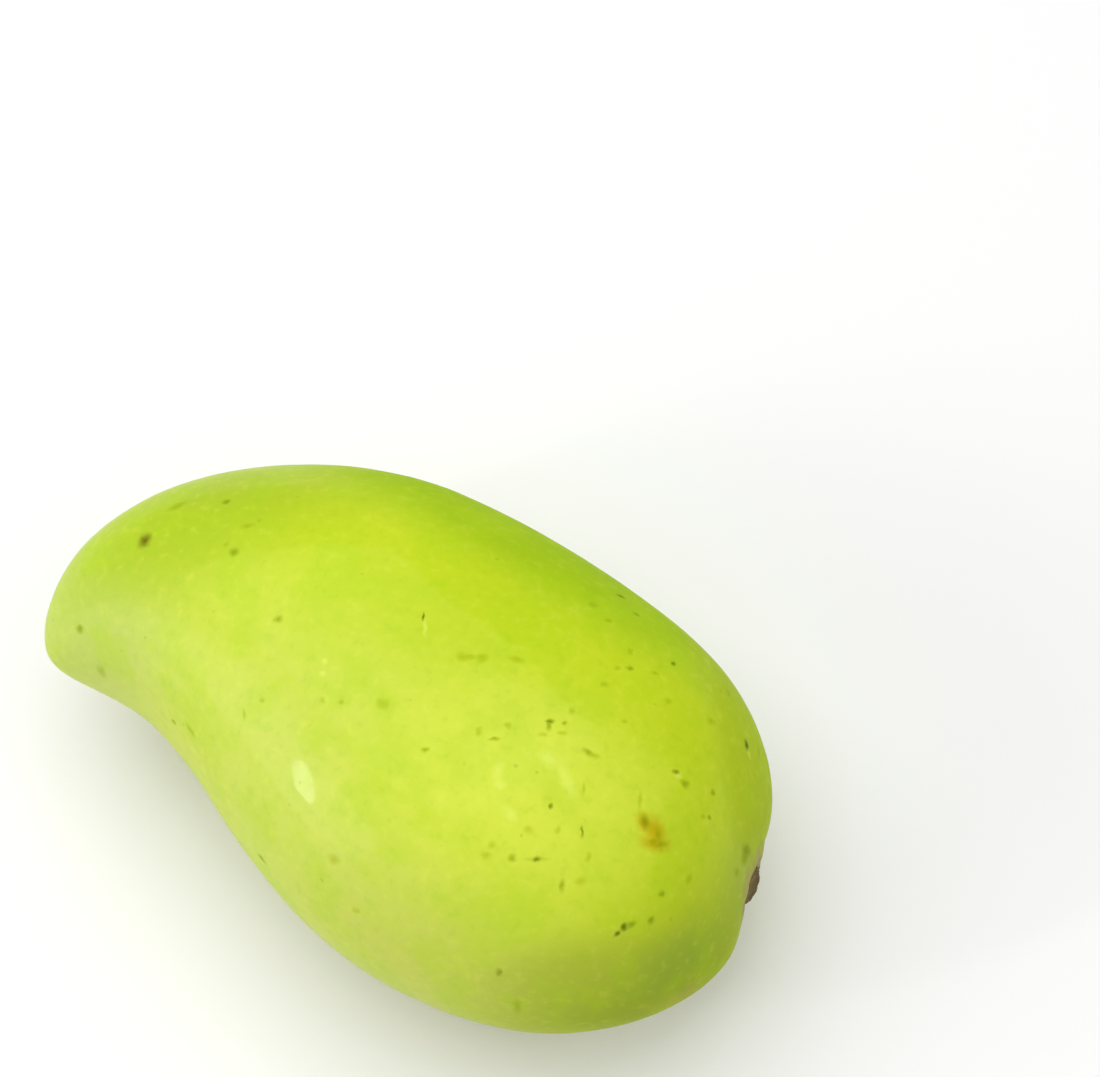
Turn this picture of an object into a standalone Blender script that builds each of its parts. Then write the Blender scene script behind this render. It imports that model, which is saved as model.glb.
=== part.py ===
"""A green mango lying on its cheek, with the dry stub of its stalk.

The stalk end points along +X, the beak along -X, the rounded back along +Y and the belly along -Y.
The fruit stands on a small flat spot at z = 0, and the middle of its box is above the origin.

Seen from above, the fruit's outline is one smooth closed line through a few points: along the back
from the foot of the stalk to the tip of the beak, and home along the belly. Oval sections stand
across the fruit between facing points of the back and the belly.
"""

import bmesh
import bpy
import numpy as np

MM = 0.001

# Outline seen from above, in millimetres, from the stalk to the tip of the beak.
STALK_FOOT = (61.8, 5.7)
BACK_SIDE = (
    (57.0, 20.5),
    (42.5, 32.5),
    (20.0, 37.5),
    (-7.0, 38.0),
    (-29.0, 33.5),
    (-49.0, 21.5),
    (-61.5, 4.5),
    (-64.0, -10.0),
)
BELLY_SIDE = (
    (64.5, -6.5),
    (59.0, -20.0),
    (44.0, -32.5),
    (24.5, -38.0),
    (3.5, -37.0),
    (-19.0, -29.0),
    (-36.5, -22.5),
    (-50.0, -22.5),
)
BEAK_TIP = (-59.5, -21.5)
BOX_MIDDLE = (0.2, -0.1)

# Thickness from cheek to cheek between each pair of facing points, in millimetres.
THICKNESS = (12.0, 42.0, 58.0, 62.0, 58.5, 48.0, 35.0, 20.0)

# A section is a little fuller than an ellipse, and thicker towards the back than the belly.
SECTION_FULLNESS = 0.06
BACK_HEAVINESS = 0.05

# Small flat spot that the fruit rests on, cut this deep into the lower cheek. Points that lie
# closer to the cut than the snap move onto it.
FLAT_DEPTH = 0.5
CUT_SNAP = 0.1

# Shallow basin at the foot of the stalk.
BASIN_DEPTH = 1.3
BASIN_SPREAD = 4.5

# Dry stub of the stalk, in millimetres: how far up its axis and how wide each turn of its profile is.
# Its broken end leans back, so that it is lower on its upper side.
STUB_BASE_HEIGHT = 0.65
STUB_PROFILE = (
    (0.0, 2.6),
    (0.2, 2.9),
    (0.5, 3.0),
    (0.8, 2.8),
    (0.95, 2.3),
    (0.9, 1.5),
    (0.8, 0.8),
)
STUB_TOP_MIDDLE = 0.78
STUB_LEAN_DEGREES = 10.0
STUB_LOBES = 0.05

# Mesh density.
FRUIT_ROWS = 64
FRUIT_AROUND = 72
STUB_AROUND = 28

# Colours as linear red, green and blue.
SKIN_COLOUR = (0.546, 0.680, 0.055, 1.0)
STUB_COLOUR = (0.075, 0.045, 0.022, 1.0)


def clear_scene():
    """Remove every object that a new file starts with."""
    for thing in list(bpy.data.objects):
        bpy.data.objects.remove(thing, do_unlink=True)


def closed_line(points, stops):
    """Points and directions on the smooth closed line through points.

    The line is the periodic cubic spline that passes a point at each whole number of stops.
    """
    count = len(points)
    step = np.eye(count)
    chords = np.roll(points, -1, axis=0) - np.roll(points, 1, axis=0)
    slopes = np.linalg.solve(4.0 * step + np.roll(step, 1, axis=1) + np.roll(step, -1, axis=1), 3.0 * chords)
    first = np.floor(stops).astype(int)
    part = (stops - first)[:, None]
    here = first % count
    there = (first + 1) % count
    rise = part * part * (3.0 - 2.0 * part)
    leave = part * (1.0 - part) ** 2
    arrive = part * part * (part - 1.0)
    line = (1.0 - rise) * points[here] + rise * points[there] + leave * slopes[here] + arrive * slopes[there]
    return line, slopes[here]


def fruit_frame(rows):
    """Middles, half widths and half thicknesses of the sections, and the stalk's foot and axis."""
    back = np.array((STALK_FOOT,) + BACK_SIDE + (BEAK_TIP,)) - BOX_MIDDLE
    belly = np.array(BELLY_SIDE) - BOX_MIDDLE
    outline = np.concatenate([back, belly[::-1]])
    half = np.array(THICKNESS) / 2.0
    swell = np.concatenate([[0.0], half, [0.0], -half[::-1]])[:, None]
    last = len(back) - 1
    stops = np.linspace(0.0, last, rows + 1)
    back_line, back_slope = closed_line(outline, stops)
    belly_line, _ = closed_line(outline, 2.0 * last - stops)
    thick, _ = closed_line(swell, stops)
    along = back_slope[0] / np.linalg.norm(back_slope[0])
    foot = np.array([back[0][0], back[0][1], max(half) - FLAT_DEPTH])
    axis = np.array([along[1], -along[0], 0.0])
    return (back_line + belly_line) / 2.0, (back_line - belly_line) / 2.0, thick[:, 0], foot, axis


def fruit_rings():
    """Rings of points round the fruit from the stalk's foot to the beak's tip, in millimetres."""
    middle, half_width, half_thick, foot, axis = fruit_frame(FRUIT_ROWS)
    angle = np.linspace(0.0, 2.0 * np.pi, FRUIT_AROUND, endpoint=False)
    side = np.cos(angle)
    rise = np.sin(angle)
    across = side * (1.0 + SECTION_FULLNESS * rise**2)
    upward = rise * (1.0 + SECTION_FULLNESS * side**2) * (1.0 + BACK_HEAVINESS * side)
    plan = middle[:, None] + half_width[:, None] * across[None, :, None]
    height = foot[2] + half_thick[:, None] * upward[None]
    rings = np.concatenate([plan, height[..., None]], axis=2)
    apart = np.linalg.norm(rings - foot, axis=2)
    dent = BASIN_DEPTH * np.exp(-0.5 * (apart / BASIN_SPREAD) ** 2)
    return rings - dent[..., None] * axis


def stub_rings():
    """Rings of points round the stub from its base to its hollow top, in millimetres."""
    _, _, _, foot, axis = fruit_frame(FRUIT_ROWS)
    side = np.array([-axis[1], axis[0], 0.0])
    up = np.array([0.0, 0.0, 1.0])
    base = foot + (STUB_BASE_HEIGHT - BASIN_DEPTH) * axis
    angle = np.linspace(0.0, 2.0 * np.pi, STUB_AROUND, endpoint=False)
    lobed = 1.0 + STUB_LOBES * np.cos(3.0 * angle + 0.6) + 0.5 * STUB_LOBES * np.cos(5.0 * angle)
    round_it = (np.cos(angle) * lobed)[:, None] * side + (np.sin(angle) * lobed)[:, None] * up
    profile = np.array(STUB_PROFILE)
    share = profile[:, 0] / profile[:, 0].max()
    upper = profile[:, 1, None] * np.sin(angle)
    height = profile[:, 0, None] - np.tan(np.radians(STUB_LEAN_DEGREES)) * share[:, None] * upper
    rings = base + height[..., None] * axis + profile[:, 1, None, None] * round_it
    bottom = np.broadcast_to(base, (1, STUB_AROUND, 3))
    top = np.broadcast_to(base + STUB_TOP_MIDDLE * axis, (1, STUB_AROUND, 3))
    return np.concatenate([bottom, rings, top])


def closed_skin(name, rings):
    """A mesh in metres over rings of points whose first and last ring are each a single point."""
    count, around = rings.shape[:2]
    points = [rings[0, 0]] + list(rings[1:-1].reshape(-1, 3)) + [rings[-1, 0]]
    last = len(points) - 1
    faces = []
    for k in range(around):
        following = (k + 1) % around
        faces.append((0, 1 + k, 1 + following))
        for row in range(count - 3):
            start = 1 + row * around
            faces.append((start + k, start + around + k, start + around + following, start + following))
        start = last - around
        faces.append((start + k, last, start + following))
    mesh = bpy.data.meshes.new(name)
    mesh.from_pydata([tuple(point * MM) for point in points], [], faces)
    return mesh


def finish_mesh(mesh, flat_height=None):
    """Cut the mesh flat at a height, if one is given, and turn its faces outwards."""
    work = bmesh.new()
    work.from_mesh(mesh)
    if flat_height is not None:
        everything = work.verts[:] + work.edges[:] + work.faces[:]
        cut = bmesh.ops.bisect_plane(
            work,
            geom=everything,
            dist=CUT_SNAP * MM,
            plane_co=(0.0, 0.0, flat_height),
            plane_no=(0.0, 0.0, 1.0),
            clear_inner=True,
        )
        for piece in cut["geom_cut"]:
            if isinstance(piece, bmesh.types.BMVert):
                piece.co.z = flat_height
        rim = [piece for piece in cut["geom_cut"] if isinstance(piece, bmesh.types.BMEdge)]
        spot = bmesh.ops.contextual_create(work, geom=rim)
        bmesh.ops.poke(work, faces=spot["faces"])
    bmesh.ops.recalc_face_normals(work, faces=work.faces[:])
    work.to_mesh(mesh)
    work.free()


def finish_material(name, colour, roughness):
    """A plain Principled BSDF in one colour."""
    material = bpy.data.materials.new(name)
    material.use_nodes = True
    shader = material.node_tree.nodes["Principled BSDF"]
    shader.inputs["Base Color"].default_value = colour
    shader.inputs["Roughness"].default_value = roughness
    shader.inputs["Metallic"].default_value = 0.0
    return material


def place(mesh, material, sharp_degrees):
    """Put the mesh into the scene under its own name, shaded smooth but for its sharp edges."""
    mesh.shade_smooth()
    mesh.set_sharp_from_angle(angle=np.radians(sharp_degrees))
    mesh.materials.append(material)
    thing = bpy.data.objects.new(mesh.name, mesh)
    bpy.context.scene.collection.objects.link(thing)
    return thing


def make_fruit():
    """The whole mango: skin, flesh and seed grown as one piece."""
    mesh = closed_skin("fruit", fruit_rings())
    finish_mesh(mesh, flat_height=0.0)
    return place(mesh, finish_material("green_skin", SKIN_COLOUR, 0.42), 60.0)


def make_stalk_stub():
    """The short dry stub that is left where the stalk was picked off."""
    mesh = closed_skin("stalk_stub", stub_rings())
    finish_mesh(mesh)
    return place(mesh, finish_material("dry_stalk", STUB_COLOUR, 0.85), 50.0)


clear_scene()
make_fruit()
make_stalk_stub()
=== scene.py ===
"""Looks of a green mango lying on its cheek: its skin, the dry stub of its stalk, floor, light and camera.

The frame is the CAD model's: +X towards the stalk, +Y towards the rounded back, +Z up, floor at z = 0.
Shapes are worked out in millimetres and written into meshes in metres.
"""

import logging
import math
from dataclasses import dataclass, field
from enum import Enum

import bpy
import numpy as np
from mathutils import Matrix, Quaternion, Vector

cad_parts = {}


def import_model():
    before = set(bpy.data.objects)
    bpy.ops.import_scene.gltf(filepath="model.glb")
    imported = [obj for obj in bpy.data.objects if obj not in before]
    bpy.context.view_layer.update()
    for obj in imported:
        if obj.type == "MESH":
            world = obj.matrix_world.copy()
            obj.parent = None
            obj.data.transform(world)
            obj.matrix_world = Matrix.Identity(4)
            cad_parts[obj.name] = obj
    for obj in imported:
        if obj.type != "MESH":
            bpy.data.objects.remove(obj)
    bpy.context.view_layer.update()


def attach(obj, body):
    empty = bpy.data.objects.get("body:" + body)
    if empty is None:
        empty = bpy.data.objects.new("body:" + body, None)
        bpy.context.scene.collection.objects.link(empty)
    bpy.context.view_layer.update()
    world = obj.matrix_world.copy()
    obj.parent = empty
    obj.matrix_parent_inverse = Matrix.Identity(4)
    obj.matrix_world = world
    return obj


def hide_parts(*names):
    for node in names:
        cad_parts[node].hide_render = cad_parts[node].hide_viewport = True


MM = 0.001
ROOT_BODY = "root"
Pair = tuple[float, float]
Colour = tuple[float, float, float, float]

log = logging.getLogger("mango")


def closed_line(points: np.ndarray, stops: np.ndarray) -> tuple[np.ndarray, np.ndarray]:
    """Read the smooth closed line through points, a periodic cubic spline.

    The slope at each point solves (before + 4 here + after) = 3 (next point - last point), and between
    two points the line is the Hermite cubic on their places and slopes.

    Args:
        points: The points in order, one row each.
        stops: Where to read the line, a whole number at each point.

    Returns:
        The places on the line, and the slope at the point at or before each of them.
    """
    count = len(points)
    step = np.eye(count)
    chords = np.roll(points, -1, axis=0) - np.roll(points, 1, axis=0)
    weights = 4.0 * step + np.roll(step, 1, axis=1) + np.roll(step, -1, axis=1)
    slopes = np.linalg.solve(weights, 3.0 * chords)
    first = np.floor(stops).astype(int)
    part = (stops - first)[:, None]
    here = first % count
    there = (first + 1) % count
    rise = part * part * (3.0 - 2.0 * part)
    leave = part * (1.0 - part) ** 2
    arrive = part * part * (part - 1.0)
    line = (1.0 - rise) * points[here] + rise * points[there] + leave * slopes[here] + arrive * slopes[there]
    return line, slopes[here]


def smooth_step(value: np.ndarray, low: float, high: float) -> np.ndarray:
    """Rise from 0 at low to 1 at high along 3t^2 - 2t^3."""
    part = np.clip((value - low) / (high - low), 0.0, 1.0)
    return part * part * (3.0 - 2.0 * part)


def waves(points: np.ndarray, seed: int, count: int, shortest: float, longest: float) -> np.ndarray:
    """Sum plane sine waves that run through space in random directions.

    Each wave is (length / longest) * sin(2 pi * place along its direction / length + phase), and the
    sum is divided by its spread, so that it swings by about one.

    Args:
        points: Places in millimetres, with x, y, z on the last axis.
        seed: Seed of the random draw.
        count: How many waves.
        shortest: Shortest wave length in millimetres.
        longest: Longest wave length in millimetres.

    Returns:
        The height of the sum at each place.
    """
    draw = np.random.default_rng(seed)
    ways = draw.normal(size=(count, 3))
    ways /= np.linalg.norm(ways, axis=1, keepdims=True)
    lengths = shortest * (longest / shortest) ** draw.random(count)
    phases = draw.random(count) * 2.0 * np.pi
    heights = lengths / longest
    angles = points @ (2.0 * np.pi * ways / lengths[:, None]).T + phases
    return np.sin(angles) @ heights / np.sqrt(0.5 * np.sum(heights**2))


def grid_normals(rings: np.ndarray) -> np.ndarray:
    """Unit normals of a surface of rings, as the cross product of its two central differences.

    Args:
        rings: Places as rows, points round, and x, y, z. The first and last row may each be one point.

    Returns:
        Outward unit normals in the same layout. A row that is one point takes its neighbour's mean.
    """
    along = np.gradient(rings, axis=0)
    around = np.roll(rings, -1, axis=1) - np.roll(rings, 1, axis=1)
    normals = np.cross(around, along)
    normals[0] = normals[1].mean(axis=0)
    normals[-1] = normals[-2].mean(axis=0)
    normals /= np.linalg.norm(normals, axis=2, keepdims=True) + 1e-12
    outward = np.sum((rings - rings.mean(axis=(0, 1))) * normals)
    return normals if outward > 0.0 else -normals


def ring_mesh(name: str, rings: np.ndarray) -> bpy.types.Object:
    """Make a closed mesh object over rings of points whose first and last ring are each one point.

    Quads join neighbouring rings, and a fan of triangles closes each end.

    Args:
        name: The new object's name.
        rings: Places in millimetres as rows, points round, and x, y, z.

    Returns:
        The object, at the origin, with its place in its mesh.
    """
    rows, around = rings.shape[:2]
    points = np.concatenate([rings[:1, 0], rings[1:-1].reshape(-1, 3), rings[-1:, 0]]) * MM
    here = np.arange(around)
    there = (here + 1) % around
    start = 1 + around * np.arange(rows - 3)[:, None]
    quads = np.stack([start + here, start + there, start + around + there, start + around + here], axis=-1)
    last = len(points) - 1
    near_fan = np.stack([np.zeros_like(here), 1 + there, 1 + here], axis=-1)
    far_fan = np.stack([last - around + here, last - around + there, np.full_like(here, last)], axis=-1)
    faces = near_fan.tolist() + quads.reshape(-1, 4).tolist() + far_fan.tolist()
    mesh = bpy.data.meshes.new(name)
    mesh.from_pydata(points.tolist(), [], faces)
    if signed_volume(rings) < 0.0:
        mesh.flip_normals()
    mesh.shade_smooth()
    mesh.validate()
    thing = bpy.data.objects.new(name, mesh)
    bpy.context.scene.collection.objects.link(thing)
    return thing


def signed_volume(rings: np.ndarray) -> float:
    """Sum the tetrahedra from the origin to each half of each quad, a . (b x c) / 6.

    Args:
        rings: Places as rows, points round, and x, y, z, whose quads turn as in ring_mesh.

    Returns:
        The volume inside, which is below zero where the quads face inwards.
    """
    a, b = rings[:-1], np.roll(rings, -1, axis=1)[:-1]
    c, d = np.roll(rings, -1, axis=1)[1:], rings[1:]
    halves = np.sum(a * np.cross(b, c), axis=2) + np.sum(a * np.cross(c, d), axis=2)
    return float(halves.sum() / 6.0)


@dataclass(frozen=True)
class PictureView:
    """The camera that took the picture, in the model's frame, for a picture of 1100 by 1077 pixels."""

    azimuth: float = 32.0
    elevation: float = 64.0
    distance: float = 420.0
    target: tuple[float, float, float] = (1.04, 41.23, 30.5)
    lens: float = 80.0
    sensor: float = 36.0
    width: int = 1100
    height: int = 1077

    def back(self) -> np.ndarray:
        """Unit direction from the target to the camera."""
        turn, lift = math.radians(self.azimuth), math.radians(self.elevation)
        return np.array([math.sin(turn) * math.cos(lift), -math.cos(turn) * math.cos(lift), math.sin(lift)])

    def place(self) -> np.ndarray:
        """Where the camera is, in millimetres."""
        return np.array(self.target) + self.distance * self.back()

    def project(self, points: np.ndarray) -> np.ndarray:
        """Find where places appear in the picture.

        The picture's right is (cos azimuth, sin azimuth, 0), its up is back x right, and a place is
        scaled by lens / sensor * width over its depth.

        Args:
            points: Places in millimetres, with x, y, z on the last axis.

        Returns:
            Pixels from the left and from the top, on the last axis.
        """
        turn = math.radians(self.azimuth)
        right = np.array([math.cos(turn), math.sin(turn), 0.0])
        up = np.cross(self.back(), right)
        away = points - self.place()
        depth = -(away @ self.back())
        scale = self.lens / self.sensor * self.width
        across = self.width / 2.0 + scale * (away @ right) / depth
        down = self.height / 2.0 - scale * (away @ up) / depth
        return np.stack([across, down], axis=-1)

    def build(self) -> bpy.types.Object:
        """Make the camera and give it to the scene.

        Returns:
            The camera.
        """
        data = bpy.data.cameras.new("picture_camera")
        data.lens = self.lens
        data.sensor_width = self.sensor
        data.sensor_fit = "HORIZONTAL"
        data.clip_start = 0.01
        data.clip_end = 20.0
        camera = bpy.data.objects.new("picture_camera", data)
        camera.location = Vector(self.place() * MM)
        camera.rotation_euler = Vector(self.back()).to_track_quat("Z", "Y").to_euler()
        bpy.context.scene.collection.objects.link(camera)
        bpy.context.scene.camera = camera
        return camera


@dataclass(frozen=True)
class FruitForm:
    """The fruit's plain form, from the same driving dimensions as the CAD solid, in millimetres."""

    stalk_foot: Pair = (61.8, 5.7)
    back_side: tuple[Pair, ...] = (
        (57.0, 20.5),
        (42.5, 32.5),
        (20.0, 37.5),
        (-7.0, 38.0),
        (-29.0, 33.5),
        (-49.0, 21.5),
        (-61.5, 4.5),
        (-64.0, -10.0),
    )
    belly_side: tuple[Pair, ...] = (
        (64.5, -6.5),
        (59.0, -20.0),
        (44.0, -32.5),
        (24.5, -38.0),
        (3.5, -37.0),
        (-19.0, -29.0),
        (-36.5, -22.5),
        (-50.0, -22.5),
    )
    beak_tip: Pair = (-59.5, -21.5)
    box_middle: Pair = (0.2, -0.1)
    thickness: tuple[float, ...] = (12.0, 42.0, 58.0, 62.0, 58.5, 48.0, 35.0, 20.0)
    fullness: float = 0.06
    back_heaviness: float = 0.05
    flat_depth: float = 0.5
    basin_depth: float = 1.3
    basin_spread: float = 4.5

    def mid_height(self) -> float:
        """Height of the plane halfway between the cheeks."""
        return max(self.thickness) / 2.0 - self.flat_depth

    def outline(self) -> np.ndarray:
        """Points of the outline seen from above, round from the stalk along the back and home."""
        back = (self.stalk_foot,) + self.back_side + (self.beak_tip,)
        return np.array(back + self.belly_side[::-1]) - self.box_middle

    def foot(self) -> np.ndarray:
        """The stalk's foot, before the basin sinks it."""
        first = self.outline()[0]
        return np.array([first[0], first[1], self.mid_height()])

    def axis(self) -> np.ndarray:
        """Find the direction out of the stalk end, square to the outline there.

        Returns:
            The direction as a unit vector.
        """
        _, slope = closed_line(self.outline(), np.zeros(1))
        along = slope[0] / np.linalg.norm(slope[0])
        return np.array([along[1], -along[0], 0.0])

    def side(self) -> np.ndarray:
        """Unit direction along the outline at the stalk's foot, towards the back."""
        axis = self.axis()
        return np.array([-axis[1], axis[0], 0.0])

    def basin(self, apart: np.ndarray) -> np.ndarray:
        """Depth of the basin at a distance from the stalk's foot, a bell curve."""
        return self.basin_depth * np.exp(-0.5 * (apart / self.basin_spread) ** 2)

    def rings(self, rows: int, around: int) -> np.ndarray:
        """Work out the plain surface as oval rings from the stalk's foot to the beak's tip.

        A section stands between facing points of the back and the belly line. At angle a its width
        follows cos a (1 + f sin^2 a) and its height sin a (1 + f cos^2 a)(1 + h cos a), with f the
        fullness and h the back's heaviness. The basin then sinks the points near the stalk's foot.

        Args:
            rows: Steps between rings from end to end.
            around: Points on each ring.

        Returns:
            Places as rows, points round, and x, y, z. The first and last ring are each one point.
        """
        half = np.array(self.thickness) / 2.0
        swell = np.concatenate([[0.0], half, [0.0], -half[::-1]])[:, None]
        last = len(half) + 1
        stops = np.linspace(0.0, last, rows + 1)
        back, _ = closed_line(self.outline(), stops)
        belly, _ = closed_line(self.outline(), 2.0 * last - stops)
        thick, _ = closed_line(swell, stops)
        angle = np.linspace(0.0, 2.0 * np.pi, around, endpoint=False)
        across = np.cos(angle) * (1.0 + self.fullness * np.sin(angle) ** 2)
        upward = np.sin(angle) * (1.0 + self.fullness * np.cos(angle) ** 2)
        upward = upward * (1.0 + self.back_heaviness * np.cos(angle))
        middle, half_width = (back + belly) / 2.0, (back - belly) / 2.0
        plan = middle[:, None] + half_width[:, None] * across[None, :, None]
        height = self.mid_height() + thick * upward[None]
        rings = np.concatenate([plan, height[..., None]], axis=2)
        apart = np.linalg.norm(rings - self.foot(), axis=2)
        return rings - self.basin(apart)[..., None] * self.axis()


class Graph:
    """Adds nodes to one material, so that a finish reads as a list of short steps."""

    def __init__(self, name: str) -> None:
        """Start a material with a Principled BSDF and the object's own coordinates.

        Args:
            name: The material's name.
        """
        self.material = bpy.data.materials.new(name)
        self.material.use_nodes = True
        self.tree = self.material.node_tree
        self.shader = self.tree.nodes["Principled BSDF"]
        self.place = self.tree.nodes.new("ShaderNodeTexCoord").outputs["Object"]

    def node(self, kind: str, **settings: object) -> bpy.types.Node:
        """Add a node and set its plain settings.

        Args:
            kind: The node's type.
            settings: Its settings by name.

        Returns:
            The node.
        """
        made = self.tree.nodes.new(kind)
        for name, value in settings.items():
            setattr(made, name, value)
        return made

    def feed(self, value: object, socket: bpy.types.NodeSocket) -> None:
        """Join a socket to an input, or set the input to a plain value.

        Args:
            value: The socket or the value.
            socket: The input.
        """
        if isinstance(value, bpy.types.NodeSocket):
            self.tree.links.new(value, socket)
        else:
            socket.default_value = value

    def math(self, operation: str, first: object, second: object) -> bpy.types.NodeSocket:
        """Join two numbers by one operation.

        Args:
            operation: The operation's name.
            first: The first number, plain or as a socket.
            second: The second number, plain or as a socket.

        Returns:
            The result.
        """
        made = self.node("ShaderNodeMath", operation=operation)
        self.feed(first, made.inputs[0])
        self.feed(second, made.inputs[1])
        return made.outputs[0]

    def vector(self, operation: str, first: object, second: object) -> bpy.types.NodeSocket:
        """Join two vectors by one operation.

        Args:
            operation: The operation's name.
            first: The first vector, plain or as a socket.
            second: The second vector, plain or as a socket.

        Returns:
            The result, which is a number for a distance or a dot product.
        """
        made = self.node("ShaderNodeVectorMath", operation=operation)
        self.feed(first, made.inputs[0])
        self.feed(second, made.inputs[1])
        return made.outputs["Value" if operation in ("DISTANCE", "DOT_PRODUCT") else "Vector"]

    def noise(self, size: float, detail: float) -> bpy.types.Node:
        """Add noise over the object's own coordinates.

        Args:
            size: How wide its features are, in millimetres.
            detail: How many finer layers it has.

        Returns:
            The noise's node.
        """
        made = self.node("ShaderNodeTexNoise")
        self.feed(self.place, made.inputs["Vector"])
        made.inputs["Scale"].default_value = 1.0 / (size * MM)
        made.inputs["Detail"].default_value = detail
        return made

    def band(self, value: object, low: float, high: float, top: float = 1.0) -> bpy.types.NodeSocket:
        """Rise from 0 to top along 3t^2 - 2t^3, with t the way of value from low to high.

        Args:
            value: The number read.
            low: Where the rise starts.
            high: Where it ends, which may be below low.
            top: What it rises to.

        Returns:
            The risen number.
        """
        made = self.node("ShaderNodeMapRange", interpolation_type="SMOOTHSTEP")
        self.feed(value, made.inputs["Value"])
        for name, number in (("From Min", low), ("From Max", high), ("To Min", 0.0), ("To Max", top)):
            made.inputs[name].default_value = number
        return made.outputs["Result"]

    def reach(self, value: object, span: Pair, top: float = 1.0) -> bpy.types.NodeSocket:
        """Rise as band does, over a span in millimetres."""
        return self.band(value, span[0] * MM, span[1] * MM, top)

    def mix(self, factor: object, first: object, second: object, blend: str = "MIX") -> bpy.types.NodeSocket:
        """Mix two colours.

        Args:
            factor: How much of the second there is.
            first: The first colour.
            second: The second colour.
            blend: How the second is laid on the first.

        Returns:
            The mixed colour.
        """
        made = self.node("ShaderNodeMix", data_type="RGBA", blend_type=blend)
        self.feed(factor, made.inputs[0])
        self.feed(first, made.inputs[6])
        self.feed(second, made.inputs[7])
        return made.outputs[2]

    def blob(
        self, matrix: Matrix, radii: tuple[float, float, float], where: object = None
    ) -> bpy.types.NodeSocket:
        """Fall evenly from 1 in the middle of an ellipsoid to 0 at its skin.

        Args:
            matrix: The ellipsoid's middle and axes, in metres.
            radii: Its radii along those axes, in millimetres.
            where: The coordinates read, the object's own if none are given.

        Returns:
            The number.
        """
        inside = self.node("ShaderNodeMapping", vector_type="TEXTURE")
        self.feed(where or self.place, inside.inputs["Vector"])
        inside.inputs["Location"].default_value = matrix.to_translation()
        inside.inputs["Rotation"].default_value = matrix.to_euler()
        inside.inputs["Scale"].default_value = tuple(radius * MM for radius in radii)
        ball = self.node("ShaderNodeTexGradient", gradient_type="SPHERICAL")
        self.feed(inside.outputs["Vector"], ball.inputs["Vector"])
        return ball.outputs["Fac"]

    def roughen(self, height: bpy.types.NodeSocket, depth: float, strength: float) -> None:
        """Bump the surface.

        Args:
            height: The relief, from 0 to 1.
            depth: How deep it is, in millimetres.
            strength: How strongly it turns the light.
        """
        bump = self.node("ShaderNodeBump")
        bump.inputs["Strength"].default_value = strength
        bump.inputs["Distance"].default_value = depth * MM
        self.feed(height, bump.inputs["Height"])
        self.feed(bump.outputs["Normal"], self.shader.inputs["Normal"])

    def most(self, values: list[bpy.types.NodeSocket]) -> bpy.types.NodeSocket:
        """Find the largest of several numbers.

        Args:
            values: The numbers.

        Returns:
            The largest of them.
        """
        largest = values[0]
        for value in values[1:]:
            largest = self.math("MAXIMUM", largest, value)
        return largest


class MarkKind(Enum):
    """What a mark on the skin is."""

    # Pale bloom, and painted highlights of the overhead lamps where their reflection breaks up on the skin.
    PALE_FLECK_AND_GLINT = "pale fleck"
    FAINT_PORE = "faint pore"
    OLIVE_PORE = "olive pore"
    DARK_SPECK = "dark speck"
    DEEP_SPECK = "nearly black speck"
    BROWN_SPOT = "brown spot"
    SCAR_STAIN = "orange stain round the scar"
    SCAR_SCAB = "brown scab on the scar"


@dataclass(frozen=True)
class Mark:
    """One mark on the upper cheek: where the picture shows it, its length, width and turn.

    The pixel is in the picture's own frame. Length and width are in millimetres, and turn is in
    degrees from the picture's right, anticlockwise.
    """

    pixel: Pair
    length: float
    width: float
    turn: float = 0.0


@dataclass(frozen=True)
class Zone:
    """One broad area of tone that fades out over an ellipsoid, placed like a mark.

    The radii are in millimetres, along its turn, across it and into the fruit. The tone is full where
    the way in from the ellipsoid's skin is more than core of its radius. A dull zone has little wax.
    Some zones are painted shade, and some are partly painted sheen.
    """

    tone: Colour
    strength: float
    pixel: Pair
    radii: tuple[float, float, float]
    turn: float = 0.0
    core: float = 0.9
    dull: bool = False


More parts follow.
